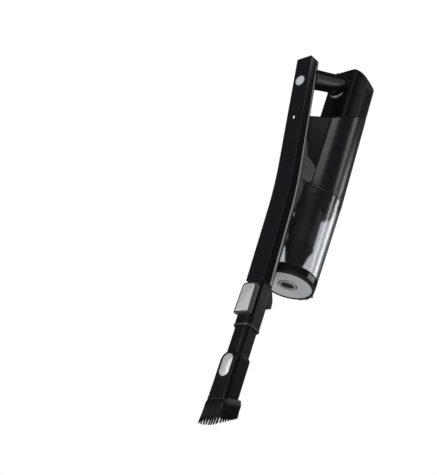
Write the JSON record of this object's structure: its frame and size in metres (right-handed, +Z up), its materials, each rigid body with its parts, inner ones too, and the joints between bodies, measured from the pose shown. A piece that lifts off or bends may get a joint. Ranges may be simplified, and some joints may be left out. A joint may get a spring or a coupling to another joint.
{
  "type": "handheld vacuum",
  "caption": "Slim handheld vacuum with a bent flat spine, round grip, clear dust cup with drop-open lid, removable battery and a sliding combination brush tool.",
  "frame": {"origin": "centre of the flat contact plate on the back of the motor housing, where the cleaner hangs on a wall dock", "axes": "+Z up along the dust cup's axis with the tool pointing down, +Y out of the contact plate towards the wall, the power button faces -Y, +X to the right seen from the front"},
  "size_m": [0.099, 0.179, 0.7246],
  "materials": {
    "gloss_black": "gloss",
    "satin_black": "satin",
    "satin_dark_grey": "satin",
    "satin_grey": "satin",
    "silver_button": "satin",
    "light_grey": "satin",
    "clear_smoke": "clear, light smoke tint",
    "rubber_black": "matt",
    "bristle_black": "nylon bristle",
    "steel": "plain",
    "cell_wrap": "sleeved cells",
    "board": "solder mask",
    "filter_white": "pleated media",
    "foam": "open foam"
  },
  "bodies": {
    "main_body": {"spine_front_cover": "gloss_black", "side_trim_right": "satin_grey", "side_trim_left": "satin_grey", "spine_upper_back": "satin_black", "spine_saddle": "satin_grey", "suction_duct": "satin_black", "power_button_bezel": "satin_black", "power_switch": "satin_black", "control_board": "board", "status_light": "light_grey", "grip_upper_shell": "satin_black", "grip_lower_shell": "satin_black", "grip_collar": "satin_black", "head_front_housing": "satin_black", "motor_housing": "satin_dark_grey", "rear_vent_grille": "satin_black", "dock_plate": "satin_black", "dock_contact_left": "steel", "dock_contact_right": "steel", "motor_can": "steel", "motor_stator": "steel", "front_motor_mount": "rubber_black", "back_motor_mount": "rubber_black", "motor_board": "board", "filter_frame": "satin_black", "pleated_filter": "filter_white", "foam_filter": "foam", "nozzle_collar": "satin_black", "collar_rim_band": "satin_dark_grey", "release_surround": "satin_grey", "contact_shroud": "satin_black"},
    "power_button_body": {"power_button": "light_grey"},
    "battery": {"battery_case": "satin_black", "battery_cells": "cell_wrap", "battery_connector": "satin_black"},
    "battery_release": {"battery_release_button": "silver_button"},
    "rotor": {"motor_rotor": "satin_black", "motor_shaft": "steel", "impeller": "satin_grey"},
    "cup": {"dust_cup": "clear_smoke", "cup_seal": "rubber_black", "cup_base_ring": "satin_black", "cyclone_shroud": "satin_black", "cyclone_cone": "satin_dark_grey", "vortex_finder": "satin_black", "lid_hinge_pin": "steel"},
    "lid": {"cup_lid": "light_grey", "lid_port_rim": "light_grey", "lid_port_plug": "satin_black", "lid_seal": "rubber_black"},
    "lid_latch_body": {"lid_latch": "satin_grey"},
    "flap": {"inlet_flap": "rubber_black"},
    "cup_release": {"cup_release_latch": "satin_black"},
    "tool_release": {"tool_release_button": "silver_button"},
    "combi_tool": {"combi_nozzle": "satin_black"},
    "brush": {"brush_carriage": "satin_black", "brush_bristles": "bristle_black"},
    "brush_button": {"brush_slide_button": "silver_button"}
  },
  "joints": [
    {"name": "power_press", "type": "slide", "parent": "main_body", "child": "power_button_body", "axis": [0, 0.9833, 0.1822], "range_m": [0, 0.0015], "stiffness_N_per_m": 900},
    {"name": "battery_slide", "type": "slide", "parent": "main_body", "child": "battery", "axis": [0, 0, 1], "range_m": [0, 0.085]},
    {"name": "battery_release_press", "type": "slide", "parent": "main_body", "child": "battery_release", "axis": [0, 1, 0], "range_m": [0, 0.0015], "stiffness_N_per_m": 900},
    {"name": "rotor_spin", "type": "hinge", "parent": "main_body", "child": "rotor", "pos_m": [0, -0.052, 0], "axis": [0, 0, 1], "continuous": true},
    {"name": "cup_tilt", "type": "hinge", "parent": "main_body", "child": "cup", "pos_m": [0, -0.0975, -0.24], "axis": [-1, 0, 0], "range_deg": [0, 25]},
    {"name": "lid_open", "type": "hinge", "parent": "cup", "child": "lid", "pos_m": [0, -0.005, -0.234], "axis": [1, 0, 0], "range_deg": [0, 95]},
    {"name": "lid_latch_press", "type": "slide", "parent": "cup", "child": "lid_latch_body", "axis": [-1, 0, 0], "range_m": [0, 0.0012], "stiffness_N_per_m": 700},
    {"name": "inlet_flap_swing", "type": "hinge", "parent": "cup", "child": "flap", "pos_m": [0, -0.0928, -0.1355], "axis": [1, 0, 0], "range_deg": [0, 28]},
    {"name": "cup_release_slide", "type": "slide", "parent": "cup", "child": "cup_release", "axis": [0, 0, -1], "range_m": [0, 0.0014], "stiffness_N_per_m": 900},
    {"name": "tool_release_press", "type": "slide", "parent": "main_body", "child": "tool_release", "axis": [0, 1, 0], "range_m": [0, 0.0025], "stiffness_N_per_m": 900},
    {"name": "tool_slide", "type": "slide", "parent": "main_body", "child": "combi_tool", "axis": [0, 0, -1], "range_m": [0, 0.053]},
    {"name": "brush_slide", "type": "slide", "parent": "combi_tool", "child": "brush", "axis": [0, 0, 1], "range_m": [0, 0.03]},
    {"name": "brush_button_press", "type": "slide", "parent": "brush", "child": "brush_button", "axis": [0, 1, 0], "range_m": [0, 0.001], "stiffness_N_per_m": 700}
  ]
}
